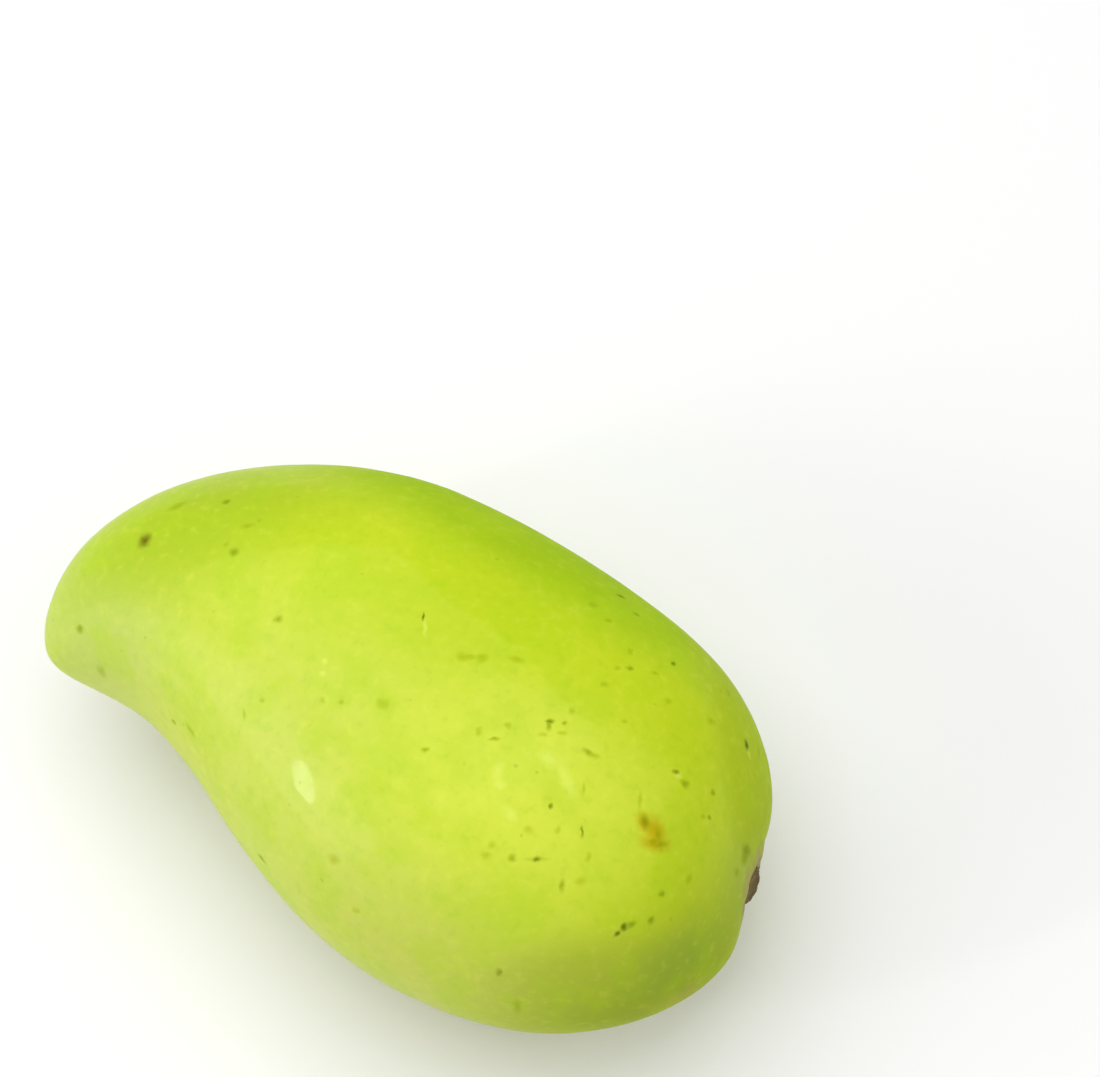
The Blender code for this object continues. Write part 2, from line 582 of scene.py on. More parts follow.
MARKS = {
    MarkKind.PALE_FLECK_AND_GLINT: (
        Mark((425, 629), 2.4, 0.6, 90),
        Mark((749, 754), 1.6, 0.8, -40),
        Mark((678, 776), 1.4, 0.9),
        Mark((325, 661), 1.0, 0.9),
        Mark((323, 674), 1.0, 0.8),
        # These five are painted highlights of the overhead lamps, not bloom.
        Mark((499, 769), 2.4, 1.6, 80),
        Mark((500, 786), 1.8, 1.3),
        Mark((511, 814), 2.6, 1.4, -40),
        Mark((567, 780), 5.2, 1.7, -64),
        Mark((548, 760), 3.2, 2.0, -45),
    ),
    MarkKind.FAINT_PORE: (
        Mark((227, 545), 0.9, 0.8),
        Mark((247, 525), 1.8, 0.9),
        Mark((177, 507), 2.8, 1.3, 20),
        Mark((102, 671), 1.5, 2.4),
        Mark((384, 703), 1.9, 1.5),
        Mark((191, 730), 2.4, 1.0, -65),
        Mark((244, 714), 1.6, 0.7, 85),
        Mark((322, 701), 1.0, 0.9),
        Mark((341, 701), 0.8, 0.7),
        Mark((262, 701), 0.8, 0.7),
        Mark((462, 656), 1.5, 1.3),
        Mark((470, 656), 2.4, 1.0),
        Mark((481, 656), 1.8, 1.2),
        Mark((515, 659), 2.4, 1.0, -14),
        Mark((592, 605), 1.5, 1.2, 40),
        Mark((608, 621), 1.1, 0.9),
        Mark((630, 651), 1.2, 0.9, 80),
        Mark((618, 668), 1.0, 0.8),
        Mark((654, 673), 1.0, 0.7),
        Mark((604, 685), 1.1, 1.0),
        Mark((668, 701), 1.1, 0.9),
        Mark((712, 721), 1.6, 1.2),
        Mark((625, 722), 1.0, 0.6),
        Mark((572, 712), 1.1, 0.8, 80),
        Mark((508, 727), 1.0, 0.8),
        Mark((480, 731), 1.4, 0.7, 70),
        Mark((542, 734), 1.2, 0.7),
        Mark((562, 733), 1.2, 0.6),
        Mark((595, 757), 1.4, 0.8, -25),
        Mark((759, 752), 1.6, 0.8, -80),
        Mark((728, 693), 1.6, 0.8, 60),
        Mark((702, 817), 0.8, 0.7),
        Mark((583, 788), 1.8, 0.5, 90),
        Mark((640, 800), 2.4, 0.6, 92),
        Mark((557, 829), 1.0, 0.8, 80),
        Mark((529, 829), 1.3, 1.0),
        Mark((537, 858), 3.0, 0.6),
        Mark((487, 856), 1.3, 1.1),
        Mark((492, 844), 1.2, 1.0),
        Mark((582, 881), 1.5, 1.2),
        Mark((589, 857), 1.3, 0.7, 84),
        Mark((689, 880), 1.5, 1.0, 70),
        Mark((518, 1007), 1.2, 3.2),
        Mark((357, 911), 1.4, 1.0),
        Mark((335, 859), 1.9, 1.5),
        Mark((745, 860), 1.4, 2.4, -75),
        Mark((737, 873), 1.5, 1.2),
        Mark((644, 821), 2.0, 1.3, -70),
    ),
    MarkKind.OLIVE_PORE: (
        Mark((234, 552), 1.4, 1.4),
        Mark((227, 502), 1.2, 1.1),
        Mark((80, 629), 1.4, 1.3),
        Mark((278, 618), 1.3, 1.1),
        Mark((174, 722), 1.0, 0.8),
        Mark((637, 615), 1.0, 0.8),
        Mark((629, 668), 1.0, 0.8),
        Mark((549, 727), 1.2, 0.6, 90),
        Mark((564, 724), 0.8, 0.5),
        Mark((495, 738), 1.5, 0.5, 4),
        Mark((426, 750), 1.1, 0.7, 20),
        Mark((588, 752), 1.5, 0.8, -25),
        Mark((685, 785), 1.4, 1.2),
        Mark((713, 792), 1.0, 0.9),
        Mark((709, 817), 0.8, 0.7),
        Mark((513, 858), 1.1, 1.1),
        Mark((562, 885), 1.6, 0.8, 84),
        Mark((662, 894), 1.0, 0.9),
        Mark((650, 921), 1.3, 1.0, 60),
        Mark((631, 924), 1.4, 1.0, 20),
        Mark((498, 973), 0.9, 1.4),
        Mark((262, 858), 1.8, 0.9, -50),
        Mark((747, 851), 1.9, 3.2, -75),
    ),
    MarkKind.DARK_SPECK: (
        Mark((620, 596), 1.6, 0.7),
        Mark((673, 664), 0.8, 0.8),
        Mark((550, 721), 1.2, 0.6),
        Mark((675, 772), 1.1, 0.6),
        Mark((549, 807), 0.9, 0.6, 80),
        Mark((581, 831), 1.6, 0.4, 90),
        Mark((537, 858), 0.9, 0.8),
    ),
    MarkKind.DEEP_SPECK: (
        Mark((423, 616), 1.2, 0.42, 88),
        Mark((746, 745), 1.5, 1.1, -70),
        Mark((624, 927), 0.9, 0.9),
        Mark((617, 934), 1.2, 0.6, 50),
    ),
    MarkKind.BROWN_SPOT: (Mark((144, 540), 2.3, 2.1, 62),),
    MarkKind.SCAR_STAIN: (
        Mark((645, 822), 3.0, 2.0, -65),
        Mark((654, 832), 4.4, 3.2, -60),
        Mark((655, 843), 4.6, 2.2, -10),
    ),
    MarkKind.SCAR_SCAB: (
        Mark((644, 821), 2.1, 1.4, -70),
        Mark((658, 834), 1.7, 0.9, -75),
        Mark((652, 842), 1.3, 1.0, 20),
        Mark((661, 845), 2.4, 0.8, 2),
    ),
}


@dataclass(frozen=True)
class Cheek:
    """The upper side of the fruit as the picture shows it, to find places on the skin by pixel."""

    points: np.ndarray
    normals: np.ndarray
    pixels: np.ndarray

    @classmethod
    def of(cls, form: FruitForm, view: PictureView) -> "Cheek":
        """Read the plain form's points that face the camera.

        Args:
            form: The fruit's plain form.
            view: The camera that took the picture.

        Returns:
            The points, their normals and their pixels.
        """
        rings = form.rings(640, 640)
        normals = grid_normals(rings)
        facing = np.sum(normals * (view.place() - rings), axis=2) > 0.0
        points = rings[facing]
        return cls(points, normals[facing], view.project(points))

    def spot(self, pixel: Pair) -> tuple[np.ndarray, np.ndarray]:
        """Place and normal of the skin that shows at a pixel."""
        nearest = int(np.argmin(np.sum((self.pixels - np.array(pixel)) ** 2, axis=1)))
        return self.points[nearest], self.normals[nearest]

    def frame(self, pixel: Pair, turn: float, view: PictureView) -> Matrix:
        """Find a frame on the skin with Z out of it and X turned as the picture shows.

        Args:
            pixel: Where the picture shows the place.
            turn: Degrees from the picture's right, anticlockwise.
            view: The camera that took the picture.

        Returns:
            The frame as a matrix in metres.
        """
        place, normal = self.spot(pixel)
        swing = math.radians(view.azimuth + turn)
        along = np.array([math.cos(swing), math.sin(swing), 0.0])
        along -= normal * (along @ normal)
        along /= np.linalg.norm(along)
        across = np.cross(normal, along)
        turned = Matrix((along, across, normal)).transposed().to_4x4()
        turned.translation = Vector(place * MM)
        return turned


@dataclass(frozen=True)
class Mottle:
    """Patches of one tone: their width in millimetres, the noise that they cover, and their strength."""

    tone: Colour
    size: float
    span: Pair
    strength: float

    def lay(self, graph: Graph, colour: object) -> bpy.types.NodeSocket:
        """Mix the patches into a colour.

        Args:
            graph: The material's graph.
            colour: The colour so far.

        Returns:
            The colour with the patches.
        """
        noise = graph.noise(self.size, 3.0).outputs["Fac"]
        return graph.mix(graph.band(noise, *self.span, self.strength), colour, self.tone)


@dataclass(frozen=True)
class Pores:
    """A scatter of specks in cells of one width in millimetres, each reaching a share of that width."""

    spacing: float
    reach: float
    strength: float
    hidden_only: bool


@dataclass(frozen=True)
class SkinFinish:
    """Waxy green skin: yellow-green with broad drifts of tone, a pale bloom, pores, specks and one scar,
    with painted highlights, painted sheen and painted shade laid into its colour.

    Lengths are in millimetres.
    """

    plain_green: Colour = (0.503, 0.640, 0.008, 1.0)
    drift: Mottle = Mottle((0.568, 0.680, 0.022, 1.0), 30.0, (0.40, 0.68), 0.45)
    mottles: tuple[Mottle, ...] = (
        Mottle((0.415, 0.612, 0.004, 1.0), 9.0, (0.44, 0.64), 0.36),
        Mottle((0.800, 0.820, 0.100, 1.0), 1.7, (0.50, 0.78), 0.16),
        Mottle((0.230, 0.480, 0.003, 1.0), 1.7, (0.47, 0.25), 0.16),
    )
    pores: tuple[Pores, ...] = (Pores(3.1, 0.13, 0.24, False), Pores(3.8, 0.22, 0.80, True))
    pore_tone: Colour = (0.14, 0.18, 0.003, 1.0)
    pore_draw: Pair = (0.52, 0.92)
    shake_size: float = 1.1
    shake_reach: float = 0.8
    under_tone: Colour = (0.490, 0.435, 0.085, 1.0)
    under_strength: float = 0.50
    cork_tone: Colour = (0.390, 0.355, 0.072, 1.0)
    cork_span: Pair = (11.3, 8.9)
    cork_strength: float = 0.85
    crust_tone: Colour = (0.275, 0.215, 0.045, 1.0)
    crust_span: Pair = (9.0, 7.6)
    crust_strength: float = 0.80
    cork_raggedness: float = 6.4
    specular: float = 0.12
    roughness: float = 0.46
    roughness_swing: float = 0.10
    bare_roughness: float = 0.40
    pit_depth: float = 0.15
    pit_strength: float = 0.10
    coat: float = 0.14
    coat_roughness: float = 0.06
    mark_depth: float = 1.8
    mark_spread: float = 0.9
    mark_core: float = 0.95
    under_way: tuple[float, float, float] = (0.0, 0.22, 1.0)
    under_span: Pair = (28.0, 11.0)
    hidden_way: tuple[float, float, float] = (0.058, -0.265, 0.963)
    hidden_span: Pair = (29.5, 25.0)
    zones: tuple[Zone, ...] = (
        Zone((0.545, 0.645, 0.085, 1.0), 1.0, (300, 800), (78.0, 36.0, 46.0), -40),
        # Paler and bluer at the beak, partly painted sheen.
        Zone((0.520, 0.620, 0.125, 1.0), 1.0, (90, 635), (30.0, 22.0, 28.0), -30),
        # Paler and yellower in the middle of the cheek: pale bloom, partly painted sheen of the overhead
        # lamps.
        Zone((0.625, 0.725, 0.045, 1.0), 0.9, (515, 790), (38.0, 24.0, 30.0), -15),
        Zone((0.545, 0.630, 0.030, 1.0), 0.7, (192, 765), (24.0, 18.0, 16.0), -50),
        Zone((0.520, 0.545, 0.100, 1.0), 0.45, (430, 972), (42.0, 20.0, 26.0), -24),
        Zone((0.350, 0.500, 0.012, 1.0), 0.8, (185, 515), (48.0, 22.0, 32.0), 15),
        Zone((0.318, 0.405, 0.022, 1.0), 0.9, (660, 1000), (42.0, 24.0, 34.0), 25, 0.90, True),
        Zone((0.350, 0.450, 0.020, 1.0), 0.7, (750, 870), (18.0, 14.0, 20.0), 70),
        Zone((0.265, 0.400, 0.028, 1.0), 0.6, (677, 962), (15.0, 9.0, 14.0), 20),
        Zone((0.360, 0.420, 0.030, 1.0), 0.5, (578, 976), (20.0, 9.0, 14.0), 10),
        Zone((0.480, 0.390, 0.090, 1.0), 0.5, (684, 996), (9.0, 5.0, 9.0), 25),
        # Darker along the back rim: painted shade of a fruit lying next to this one.
        Zone((0.340, 0.530, 0.003, 1.0), 0.9, (540, 540), (60.0, 18.0, 20.0), -33, 0.60, True),
        # Darker on the right rim above the stalk end: painted shade.
        Zone((0.400, 0.520, 0.004, 1.0), 0.7, (752, 740), (28.0, 14.0, 18.0), -70, 0.50, True),
    )
    # Tone of the pale bloom and of the painted highlights among it.
    fleck_and_glint_tone: Colour = (0.74, 0.85, 0.13, 1.0)
    fleck_and_glint_strength: float = 0.42
    filters: tuple[tuple[MarkKind, Colour], ...] = (
        (MarkKind.FAINT_PORE, (0.80, 0.81, 0.50, 1.0)),
        (MarkKind.OLIVE_PORE, (0.59, 0.62, 0.20, 1.0)),
        (MarkKind.DARK_SPECK, (0.38, 0.42, 0.01, 1.0)),
        (MarkKind.DEEP_SPECK, (0.24, 0.28, 0.01, 1.0)),
        (MarkKind.BROWN_SPOT, (0.38, 0.25, 0.01, 1.0)),
        (MarkKind.SCAR_STAIN, (0.95, 0.62, 0.12, 1.0)),
        (MarkKind.SCAR_SCAB, (0.75, 0.86, 0.03, 1.0)),
    )
    marks: dict[MarkKind, tuple[Mark, ...]] = field(default_factory=MARKS.copy)

    def build(self, form: FruitForm, cheek: Cheek, view: PictureView) -> bpy.types.Material:
        """Make the skin's material.

        Args:
            form: The fruit's plain form.
            cheek: Its upper side as the picture shows it.
            view: The camera that took the picture.

        Returns:
            The material.
        """
        graph = Graph("green_skin")
        shake = graph.vector("SUBTRACT", graph.noise(self.shake_size, 2.0).outputs["Color"], (0.5, 0.5, 0.5))
        shake = graph.vector("MULTIPLY", shake, (self.shake_reach * MM,) * 3)
        warped = graph.vector("ADD", graph.place, shake)
        colour = self.drift.lay(graph, self.plain_green)
        bare = []
        # Lay the zones of tone. Some are painted shade, and some are partly painted sheen.
        for zone in self.zones:
            blob = graph.blob(cheek.frame(zone.pixel, zone.turn, view), zone.radii)
            share = graph.band(blob, 0.0, zone.core, zone.strength)
            colour = graph.mix(share, colour, zone.tone)
            if zone.dull:
                bare.append(share)
        colour = self.underside(graph, colour)
        for mottle in self.mottles:
            colour = mottle.lay(graph, colour)
        colour = self.scatter(graph, colour, warped)
        # Lighten the skin at each pale fleck: bloom, and five painted highlights of the overhead lamps.
        flecks_and_glints = self.cover(graph, MarkKind.PALE_FLECK_AND_GLINT, cheek, view, warped)
        colour = graph.mix(graph.math("MULTIPLY", flecks_and_glints, self.fleck_and_glint_strength), colour, self.fleck_and_glint_tone)
        for kind, tone in self.filters:
            bare.append(self.cover(graph, kind, cheek, view, warped))
            colour = graph.mix(bare[-1], colour, tone, "MULTIPLY")
        colour = self.cork(graph, colour, form, warped)
        graph.feed(colour, graph.shader.inputs["Base Color"])
        self.gloss(graph, graph.most(bare))
        return graph.material

    def underside(self, graph: Graph, colour: bpy.types.NodeSocket) -> bpy.types.NodeSocket:
        """Turn the skin yellow-brown towards the floor, higher up on the belly than on the back.

        Args:
            graph: The material's graph.
            colour: The colour so far.

        Returns:
            The colour with the tint.
        """
        height = graph.vector("DOT_PRODUCT", graph.place, self.under_way)
        return graph.mix(graph.reach(height, self.under_span, self.under_strength), colour, self.under_tone)

    def scatter(
        self, graph: Graph, colour: bpy.types.NodeSocket, warped: bpy.types.NodeSocket
    ) -> bpy.types.NodeSocket:
        """Scatter fine pores over the whole skin, and larger specks where the picture doesn't show it.

        Both sit in the middle of cells, and a draw from each cell's colour picks the cells that have
        one. The larger specks fade out over the plane that parts the cheek which the picture shows,
        whose marks are placed one by one, from the rest.

        Args:
            graph: The material's graph.
            colour: The colour so far.
            warped: Object coordinates, shaken a little, so that specks are ragged.

        Returns:
            The colour with pores and specks.
        """
        over = graph.vector("DOT_PRODUCT", graph.place, self.hidden_way)
        hidden = graph.reach(over, self.hidden_span)
        for pores in self.pores:
            cells = graph.node("ShaderNodeTexVoronoi")
            graph.feed(warped, cells.inputs["Vector"])
            cells.inputs["Scale"].default_value = 1.0 / (pores.spacing * MM)
            near = graph.band(cells.outputs["Distance"], pores.reach, pores.reach * 0.3, pores.strength)
            picked = graph.node("ShaderNodeSeparateColor")
            graph.feed(cells.outputs["Color"], picked.inputs[0])
            chosen = graph.math("MULTIPLY", near, graph.band(picked.outputs[0], *self.pore_draw))
            if pores.hidden_only:
                chosen = graph.math("MULTIPLY", chosen, hidden)
            colour = graph.mix(chosen, colour, self.pore_tone)
        return colour

    def cover(
        self, graph: Graph, kind: MarkKind, cheek: Cheek, view: PictureView, warped: bpy.types.NodeSocket
    ) -> bpy.types.NodeSocket:
        """Find how much of the skin the marks of one kind cover, each an ellipse with a soft ragged edge.

        Args:
            graph: The material's graph.
            kind: The kind.
            cheek: The fruit's upper side as the picture shows it.
            view: The camera that took the picture.
            warped: Object coordinates, shaken a little, so that edges are ragged.

        Returns:
            A number that is 1 in the middle of a mark and 0 off the marks.
        """
        blobs = []
        for mark in self.marks[kind]:
            radii = (mark.length * self.mark_spread, mark.width * self.mark_spread, self.mark_depth)
            blobs.append(graph.blob(cheek.frame(mark.pixel, mark.turn, view), radii, warped))
        return graph.band(graph.most(blobs), 0.0, self.mark_core)

    def cork(
        self, graph: Graph, colour: bpy.types.NodeSocket, form: FruitForm, warped: bpy.types.NodeSocket
    ) -> bpy.types.NodeSocket:
        """Lay the brown corky ring on the skin round the stalk's foot, with a ragged edge.

        Args:
            graph: The material's graph.
            colour: The colour so far.
            form: The fruit's plain form.
            warped: Object coordinates, shaken a little.

        Returns:
            The colour with the ring.
        """
        away = graph.vector("DISTANCE", warped, Vector(form.foot() * MM))
        broken = graph.math("MULTIPLY", graph.noise(2.4, 4.0).outputs["Fac"], self.cork_raggedness * MM)
        edge = graph.math("ADD", away, broken)
        colour = graph.mix(graph.reach(edge, self.cork_span, self.cork_strength), colour, self.cork_tone)
        return graph.mix(graph.reach(edge, self.crust_span, self.crust_strength), colour, self.crust_tone)

    def gloss(self, graph: Graph, bare: bpy.types.NodeSocket) -> None:
        """Set the wax coat, and unsettle the gloss with drifts of roughness and fine pits.

        Args:
            graph: The material's graph.
            bare: How much of the skin is a mark or a dull zone, which has no wax on it.
        """
        shader = graph.shader
        waxed = graph.math("SUBTRACT", 1.0, bare)
        span = graph.node("ShaderNodeMapRange")
        graph.feed(graph.noise(7.0, 3.0).outputs["Fac"], span.inputs["Value"])
        span.inputs["To Min"].default_value = self.roughness - self.roughness_swing
        span.inputs["To Max"].default_value = self.roughness + self.roughness_swing
        rougher = graph.math("MULTIPLY", bare, self.bare_roughness)
        graph.feed(graph.math("ADD", span.outputs["Result"], rougher), shader.inputs["Roughness"])
        shader.inputs["Specular IOR Level"].default_value = self.specular
        graph.feed(graph.math("MULTIPLY", waxed, self.coat), shader.inputs["Coat Weight"])
        shader.inputs["Coat Roughness"].default_value = self.coat_roughness
        graph.roughen(graph.noise(0.8, 2.0).outputs["Fac"], self.pit_depth, self.pit_strength)


@dataclass
class MangoSkin:
    """The whole fruit as a fine surface, with gentle unevenness, furrows in the basin and a raised scar."""

    form: FruitForm
    view: PictureView
    finish: SkinFinish = field(default_factory=SkinFinish)
    rows: int = 300
    around: int = 300
    swell_height: float = 0.06
    ripple_height: float = 0.008
    furrows: int = 7
    furrow_sway: float = 0.8
    furrow_depth: float = 0.10
    furrow_ring: Pair = (5.5, 2.2)
    collar_height: float = 0.70
    collar_ring: Pair = (4.6, 1.4)
    scab_height: float = 0.12

    def relief(self, rings: np.ndarray, cheek: Cheek) -> np.ndarray:
        """Work out how far each point stands out of the plain form.

        The relief is long waves plus short ripples, less furrows that fan out from the stalk's foot,
        plus a collar round the foot that is highest towards the back, plus a bell-shaped swelling
        under each scab, half as wide as the scab is long. Furrows and collar are bell curves over the
        distance from the foot, and their rings give its middle and its width.

        Args:
            rings: The plain surface.
            cheek: Its upper side as the picture shows it.

        Returns:
            Heights in millimetres, one for each point.
        """
        height = self.swell_height * waves(rings, 3, 22, 13.0, 38.0)
        height += self.ripple_height * waves(rings, 5, 40, 3.0, 8.0)
        away = rings - self.form.foot()
        apart = np.linalg.norm(away, axis=2)
        turn = np.arctan2(away @ np.array([0.0, 0.0, 1.0]), away @ self.form.side())
        fan = np.cos(self.furrows * turn + self.furrow_sway * waves(rings, 8, 12, 6.0, 14.0))
        middle, width = self.furrow_ring
        height -= self.furrow_depth * fan * np.exp(-0.5 * ((apart - middle) / width) ** 2)
        middle, width = self.collar_ring
        collar = self.collar_height * (0.7 + 0.3 * np.cos(turn))
        height += collar * np.exp(-0.5 * ((apart - middle) / width) ** 2)
        for mark in self.finish.marks[MarkKind.SCAR_SCAB]:
            near = np.linalg.norm(rings - cheek.spot(mark.pixel)[0], axis=2)
            height += self.scab_height * np.exp(-((near / (0.5 * mark.length)) ** 2))
        return height

    def rings(self, cheek: Cheek) -> np.ndarray:
        """Work out the finished surface: plain form plus relief, pressed flat where it meets the floor.

        Args:
            cheek: The form's upper side as the picture shows it.

        Returns:
            Places as rows, points round, and x, y, z.
        """
        plain = self.form.rings(self.rows, self.around)
        rings = plain + self.relief(plain, cheek)[..., None] * grid_normals(plain)
        rings[0] = rings[0].mean(axis=0)
        rings[-1] = rings[-1].mean(axis=0)
        rings[..., 2] = np.maximum(rings[..., 2], 0.0)
        return rings

    def build(self) -> bpy.types.Object:
        """Make the skin, dress it and put it in the fruit's place.

        Returns:
            The skin's object.
        """
        cheek = Cheek.of(self.form, self.view)
        skin = ring_mesh("mango_skin", self.rings(cheek))
        skin.data.materials.append(self.finish.build(self.form, cheek, self.view))
        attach(skin, ROOT_BODY)
        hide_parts("fruit")
        return skin


@dataclass(frozen=True)
class StalkFinish:
    """Dry stalk: brown bark, greyer on its edges, fibrous, with a corky skirt and a dark tongue.

    Spans are distances from the stalk's foot in millimetres, where a tone starts and where it is full.
    """

    bark: Colour = (0.112, 0.082, 0.024, 1.0)
    worn: Colour = (0.245, 0.185, 0.090, 1.0)
    rim_inner: Pair = (1.8, 2.6)
    rim_outer: Pair = (3.4, 2.8)
    rim_strength: float = 0.8
    worn_strength: float = 0.4
    core: Colour = (0.150, 0.110, 0.038, 1.0)
    core_span: Pair = (2.4, 1.4)
    cork: Colour = (0.345, 0.285, 0.085, 1.0)
    wall_drop: float = 0.7
    wall_strength: float = 0.45
    skirt_span: Pair = (3.1, 3.5)
    skirt_strength: float = 0.85
    tongue: Colour = (0.130, 0.100, 0.030, 1.0)
    tongue_span: Pair = (3.6, 4.4)
    tongue_strength: float = 0.90
    grain_size: float = 0.45
    grain_depth: float = 0.2
    grain_strength: float = 0.6
    roughness: float = 0.85
    specular: float = 0.15

    def build(self, form: FruitForm) -> bpy.types.Material:
        """Make the stub's material: a corky wall that darkens towards the broken end.

        Args:
            form: The fruit's plain form, for the stalk's foot.

        Returns:
            The material.
        """
        graph = Graph("dry_stalk")
        grain = graph.noise(self.grain_size, 4.0).outputs["Fac"]
        away = graph.vector("DISTANCE", graph.place, Vector(form.foot() * MM))
        colour = graph.mix(graph.reach(away, self.core_span), self.bark, self.core)
        rim = graph.math("MULTIPLY", graph.reach(away, self.rim_inner), graph.reach(away, self.rim_outer))
        rim = graph.math("MULTIPLY", rim, graph.band(grain, 0.35, 0.60, self.rim_strength))
        colour = graph.mix(rim, colour, self.worn)
        colour = graph.mix(graph.band(grain, 0.42, 0.75, self.worn_strength), colour, self.worn)
        out = graph.vector("DOT_PRODUCT", graph.place, Vector(form.axis()))
        foot = float(form.foot() @ form.axis())
        wall = graph.reach(out, (foot, foot - self.wall_drop), self.wall_strength)
        colour = graph.mix(wall, colour, self.cork)
        colour = graph.mix(graph.reach(away, self.skirt_span, self.skirt_strength), colour, self.cork)
        colour = graph.mix(graph.reach(away, self.tongue_span, self.tongue_strength), colour, self.tongue)
        graph.feed(colour, graph.shader.inputs["Base Color"])
        graph.shader.inputs["Roughness"].default_value = self.roughness
        graph.shader.inputs["Specular IOR Level"].default_value = self.specular
        graph.roughen(grain, self.grain_depth, self.grain_strength)
        return graph.material


@dataclass
class StalkStub:
    """The dry stub of the stalk: a corky skirt on the skin, a furrowed wall and a hollow broken end.

    The profile gives radius and height over the stalk's foot, from the wall's foot to the end's middle.
    """

    form: FruitForm
    skin: MangoSkin
    finish: StalkFinish = field(default_factory=StalkFinish)
    around: int = 220
    steps: int = 10
    profile: tuple[Pair, ...] = (
        (3.05, -0.75),
        (2.95, -0.45),
        (3.0, -0.15),
        (2.85, 0.12),
        (2.55, 0.28),
        (2.2, 0.30),
        (1.7, 0.16),
        (1.2, 0.06),
        (0.6, 0.03),
        (0.0, 0.03),
    )
    lean_degrees: float = 10.0
    droop: float = 0.45
    skirt: float = 3.5
    skirt_tongue: float = 2.4
    tongue_turn: float = -0.45
    tongue_width: float = 0.32
    skirt_rise: float = 0.12
    skirt_root: float = 0.06
    buried: float = 0.3
    fibres: int = 23
    fibre_depth: float = 0.022
    roughness: float = 0.05
    skin_reach: float = 9.0
    skin_blur: float = 0.35

    def floor(self, across: np.ndarray, upward: np.ndarray) -> np.ndarray:
        """Find how high the skin stands round the stalk's foot.

        The height at a place is the mean of the skin's points near it, weighted by a narrow bell curve.

        Args:
            across: Distances from the foot along the outline, in millimetres.
            upward: Distances from the foot along Z, in the same layout.

        Returns:
            Heights along the stalk's axis, in the same layout.
        """
        away = self.skin.rings(Cheek.of(self.form, self.skin.view)).reshape(-1, 3) - self.form.foot()
        away = away[np.linalg.norm(away, axis=1) < self.skin_reach]
        sideways, height = away @ self.form.side(), away @ self.form.axis()
        gap = (across.reshape(-1, 1) - sideways) ** 2 + (upward.reshape(-1, 1) - away[:, 2]) ** 2
        weight = np.exp(-0.5 * gap / self.skin_blur**2) + 1e-9
        return (weight @ height / weight.sum(axis=1)).reshape(across.shape)

    def rings(self) -> np.ndarray:
        """Work out the stub as rings from under its skirt, over its wall, to the middle of its end.

        The skirt lies on the skin and has one long tongue towards the back. From the wall's foot on, the
        profile is read along straight steps, its radius swings by lobes and fibres, and its height falls
        by the tangent of the lean times the height over the foot's centre, more the further up it is.
        It falls too by droop (c^2 - c), with c the way towards the back over 3 mm, so that it is low
        towards the belly.

        Returns:
            Places as rows, points round, and x, y, z.
        """
        angle = np.linspace(0.0, 2.0 * np.pi, self.around, endpoint=False)
        profile = np.array(self.profile)
        stops = np.linspace(0.0, len(profile) - 1.0, self.steps * (len(profile) - 1) + 1)
        radius = np.interp(stops, np.arange(len(profile)), profile[:, 0])[:, None]
        height = np.interp(stops, np.arange(len(profile)), profile[:, 1])[:, None]
        share = np.clip((height - height[0]) / (height.max() - height[0]), 0.0, 1.0)
        lobes = 1.0 + 0.05 * np.cos(3.0 * angle + 0.6) + 0.025 * np.cos(5.0 * angle)
        ragged = self.fibre_depth * np.cos(self.fibres * angle + 2.0 * np.cos(2.0 * angle))
        radius = radius * (lobes + ragged * smooth_step(radius, 0.4, 2.4))
        height = height - math.tan(math.radians(self.lean_degrees)) * share * radius * np.sin(angle)
        backward = radius * np.cos(angle) / 3.0
        height = height - self.droop * share * (backward**2 - backward)
        off_tongue = np.angle(np.exp(1j * (angle - self.tongue_turn)))
        tongue = self.skirt_tongue * np.exp(-((off_tongue / self.tongue_width) ** 2))
        reach = self.skirt * (1.0 + 0.05 * np.cos(4.0 * angle + 1.0)) + tongue
        part = np.linspace(0.0, 1.0, self.steps)[:, None]
        flare = reach + (radius[0] - reach) * part
        lift = self.skirt_rise * smooth_step(part, 0.0, 0.5) - self.skirt_root
        under = np.linspace(0.0, 1.0, 5)[:, None] * reach
        flat = np.concatenate([under, flare])
        ground = self.floor(flat * np.cos(angle), flat * np.sin(angle))
        ground = ground + np.concatenate([np.full((len(under), 1), -self.buried), lift])
        radius = np.concatenate([flat, radius[1:]])
        height = np.concatenate([ground, height[1:]])
        out = height[..., None] * self.form.axis()
        sideways = (radius * np.cos(angle))[..., None] * self.form.side()
        upwards = (radius * np.sin(angle))[..., None] * np.array([0.0, 0.0, 1.0])
        return self.form.foot() + out + sideways + upwards

    def build(self) -> bpy.types.Object:
        """Make the stub, roughen it, dress it and put it in the plain stub's place.

        Returns:
            The stub's object.
        """
        rings = self.rings()
        rough = self.roughness * waves(rings, 12, 30, 0.5, 1.8)
        rings = rings + rough[..., None] * self.form.axis()
        rings[0] = rings[0].mean(axis=0)
        rings[-1] = rings[-1].mean(axis=0)
        stub = ring_mesh("dry_stalk_stub", rings)
        stub.data.materials.append(self.finish.build(self.form))
        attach(stub, ROOT_BODY)
        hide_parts("stalk_stub")
        return stub


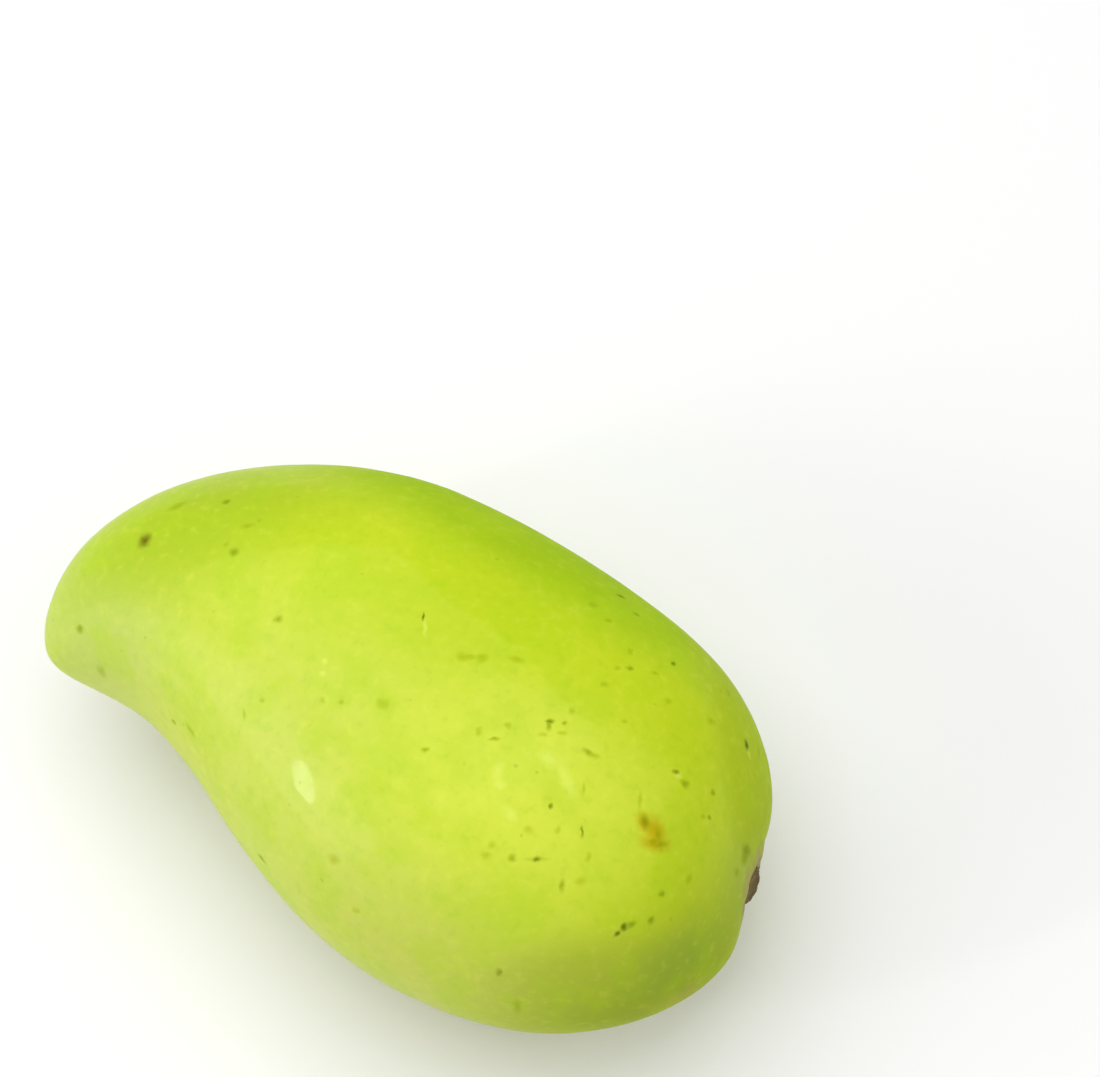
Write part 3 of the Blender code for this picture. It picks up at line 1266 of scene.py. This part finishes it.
@dataclass(frozen=True)
class Lamp:
    """A flat light: where the fruit sees it, how far, wide and bright it is, its shape and its roll.

    Angles are in degrees, lengths in metres and power in watts.
    """

    name: str
    azimuth: float
    elevation: float
    distance: float
    width: float
    height: float
    power: float
    shape: str = "RECTANGLE"
    roll: float = 0.0

    def build(self, target: Vector) -> bpy.types.Object:
        """Make the light, aimed at the target.

        Args:
            target: What it shines on, in metres.

        Returns:
            The light's object.
        """
        data = bpy.data.lights.new(self.name, "AREA")
        data.shape = self.shape
        data.size = self.width
        data.size_y = self.height
        data.energy = self.power
        turn, lift = math.radians(self.azimuth), math.radians(self.elevation)
        way = Vector((math.sin(turn) * math.cos(lift), -math.cos(turn) * math.cos(lift), math.sin(lift)))
        lamp = bpy.data.objects.new(self.name, data)
        lamp.location = target + way * self.distance
        rolled = way.to_track_quat("Z", "Y") @ Quaternion((0.0, 0.0, 1.0), math.radians(self.roll))
        lamp.rotation_euler = rolled.to_euler()
        bpy.context.scene.collection.objects.link(lamp)
        return lamp


@dataclass
class Studio:
    """Plain pale floor, white surroundings, broad soft lights overhead and a low window on the left.

    The floor's size is in metres, and the span over which its glow rises is in millimetres.
    """

    floor_size: float = 16.0
    floor_tone: Colour = (0.90, 0.90, 0.90, 1.0)
    floor_roughness: float = 0.9
    floor_specular: float = 0.2
    far_glow: float = 0.68
    glow_span: Pair = (220.0, 1100.0)
    sky_tone: Colour = (1.0, 1.0, 1.0, 1.0)
    sky_strength: float = 0.345
    sky_seen: float = 1.0
    lamps: tuple[Lamp, ...] = (
        Lamp("ceiling_left_light", -110.0, 68.0, 1.3, 1.5, 1.5, 12.1),
        Lamp("ceiling_right_light", 100.0, 68.0, 1.3, 1.5, 1.5, 5.5),
        Lamp("window_light", -39.0, 24.0, 1.3, 0.9, 0.7, 4.2),
        Lamp("window_pane_light", -37.5, 26.2, 1.0, 0.072, 0.252, 0.92, "ELLIPSE", 17.6),
    )

    def floor(self) -> bpy.types.Object:
        """Make the floor, which isn't part of the object.

        It glows a little far from the middle, where the lamps don't reach, so that it is as pale there.

        Returns:
            The floor's object.
        """
        half = self.floor_size / 2.0
        mesh = bpy.data.meshes.new("studio_floor")
        corners = [(-half, -half, 0.0), (half, -half, 0.0), (half, half, 0.0), (-half, half, 0.0)]
        mesh.from_pydata(corners, [], [(0, 1, 2, 3)])
        floor = bpy.data.objects.new("studio_floor", mesh)
        bpy.context.scene.collection.objects.link(floor)
        graph = Graph("pale_floor")
        graph.shader.inputs["Base Color"].default_value = self.floor_tone
        graph.shader.inputs["Roughness"].default_value = self.floor_roughness
        graph.shader.inputs["Specular IOR Level"].default_value = self.floor_specular
        graph.shader.inputs["Emission Color"].default_value = self.sky_tone
        away = graph.vector("DISTANCE", graph.place, (0.0, 0.0, 0.0))
        glow = graph.reach(away, self.glow_span, self.far_glow)
        graph.feed(glow, graph.shader.inputs["Emission Strength"])
        mesh.materials.append(graph.material)
        return floor

    def sky(self) -> None:
        """Surround the scene with even white light, which looks paler itself than the light it gives."""
        world = bpy.data.worlds.new("white_surroundings")
        world.use_nodes = True
        tree = world.node_tree
        shade = tree.nodes["Background"]
        shade.inputs["Color"].default_value = self.sky_tone
        strength = tree.nodes.new("ShaderNodeMapRange")
        strength.inputs["To Min"].default_value = self.sky_strength
        strength.inputs["To Max"].default_value = self.sky_seen
        seen = tree.nodes.new("ShaderNodeLightPath").outputs["Is Camera Ray"]
        tree.links.new(seen, strength.inputs["Value"])
        tree.links.new(strength.outputs["Result"], shade.inputs["Strength"])
        bpy.context.scene.world = world

    def build(self, target: Vector) -> None:
        """Make floor, surroundings and lights.

        Args:
            target: What the lights shine on, in metres.
        """
        self.floor()
        self.sky()
        for lamp in self.lamps:
            lamp.build(target)
        bpy.context.scene.view_settings.view_transform = "Standard"
        bpy.context.scene.view_settings.look = "None"


def main() -> None:
    """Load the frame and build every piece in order."""
    logging.basicConfig(level=logging.INFO, format="%(name)s: %(message)s")
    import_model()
    form = FruitForm()
    view = PictureView()
    view.build()
    skin = MangoSkin(form, view)
    for piece in (skin.build(), StalkStub(form, skin).build()):
        log.info("%s: %d faces", piece.name, len(piece.data.polygons))
    Studio().build(Vector((0.0, 0.0, form.mid_height() * MM)))
    log.info("studio: floor, surroundings and lights")


if __name__ == "__main__":
    main()
